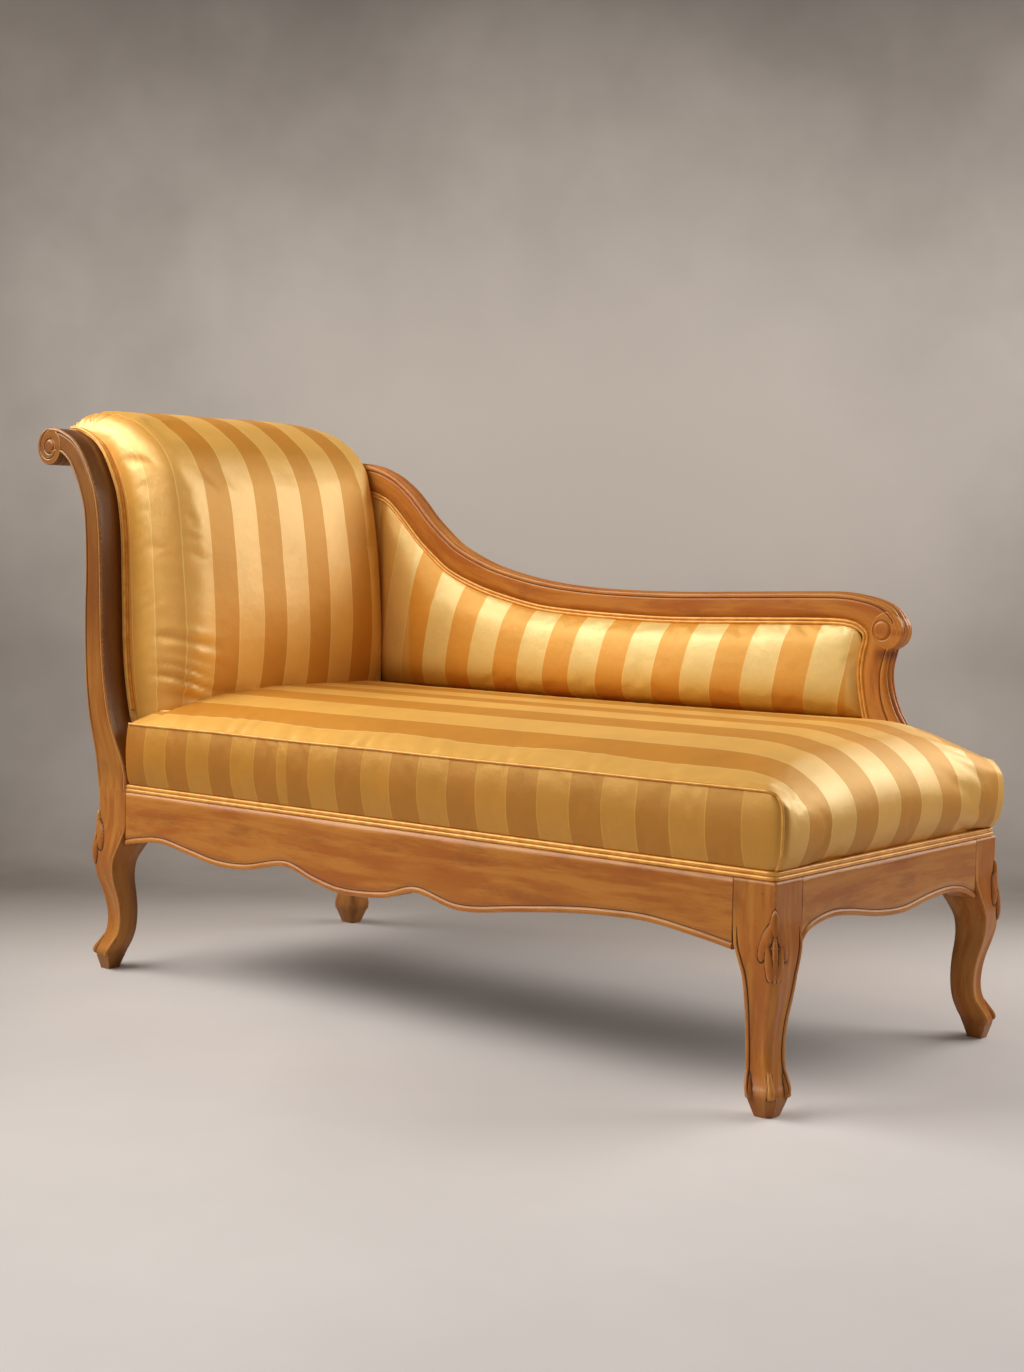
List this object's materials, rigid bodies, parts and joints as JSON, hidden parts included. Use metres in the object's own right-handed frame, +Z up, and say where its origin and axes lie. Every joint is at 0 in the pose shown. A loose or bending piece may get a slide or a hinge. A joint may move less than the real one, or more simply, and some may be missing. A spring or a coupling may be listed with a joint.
{
  "type": "recamier",
  "caption": "Free-standing day couch with a high scrolled head, a low swept side along its back, a sprung stuffed seat, striped cover and carved cabriole legs.",
  "frame": {"origin": "on the floor, under the centre of the whole couch's bounding box", "axes": "+X along the couch from the scrolled head to the foot, +Y across it from the open side to the closed side, +Z up"},
  "size_m": [1.6764, 0.6958, 1.0381],
  "materials": {
    "show_wood": "warm cherry-brown stained and polished hardwood, worn pale along its edges",
    "inner_wood": "plain unfinished hardwood of the hidden frame",
    "striped_satin": "gold striped satin, alternating light and deep gold stripes with thin bright border lines",
    "welt_cord": "double welt and piping covered in the same gold satin",
    "jute_webbing": "woven jute webbing",
    "burlap": "coarse jute burlap",
    "hair_stuffing": "curled hair stuffing pad",
    "dust_cloth": "thin black dust cloth",
    "spring_steel": "plain spring wire",
    "screw_steel": "plain steel wood screws"
  },
  "bodies": {
    "root": {"head_post_front": "show_wood", "head_post_back": "show_wood", "foot_leg_front": "show_wood", "foot_leg_back": "show_wood", "front_apron": "show_wood", "back_apron": "show_wood", "foot_apron": "show_wood", "head_apron": "show_wood", "side_crest_rail": "show_wood", "side_arm_stump": "show_wood", "head_top_rail": "inner_wood", "head_lower_rail": "inner_wood", "side_lower_rail": "inner_wood", "side_uprights": "inner_wood", "corner_blocks": "inner_wood", "corner_screws": "screw_steel", "webbing_cleats": "inner_wood", "seat_stretcher": "inner_wood", "seat_webbing_cross": "jute_webbing", "seat_webbing_long": "jute_webbing", "seat_springs": "spring_steel", "seat_burlap": "burlap", "seat_hair_pad": "hair_stuffing", "seat_cushion": "striped_satin", "seat_piping": "welt_cord", "seat_welt": "welt_cord", "bottom_cloth": "dust_cloth", "head_webbing": "jute_webbing", "head_burlap": "burlap", "head_cushion": "striped_satin", "head_outside_back": "striped_satin", "head_welt_front": "welt_cord", "head_welt_back": "welt_cord", "side_webbing": "jute_webbing", "side_burlap": "burlap", "side_cushion": "striped_satin", "side_outside_back": "striped_satin", "side_welt": "welt_cord"}
  },
  "joints": []
}
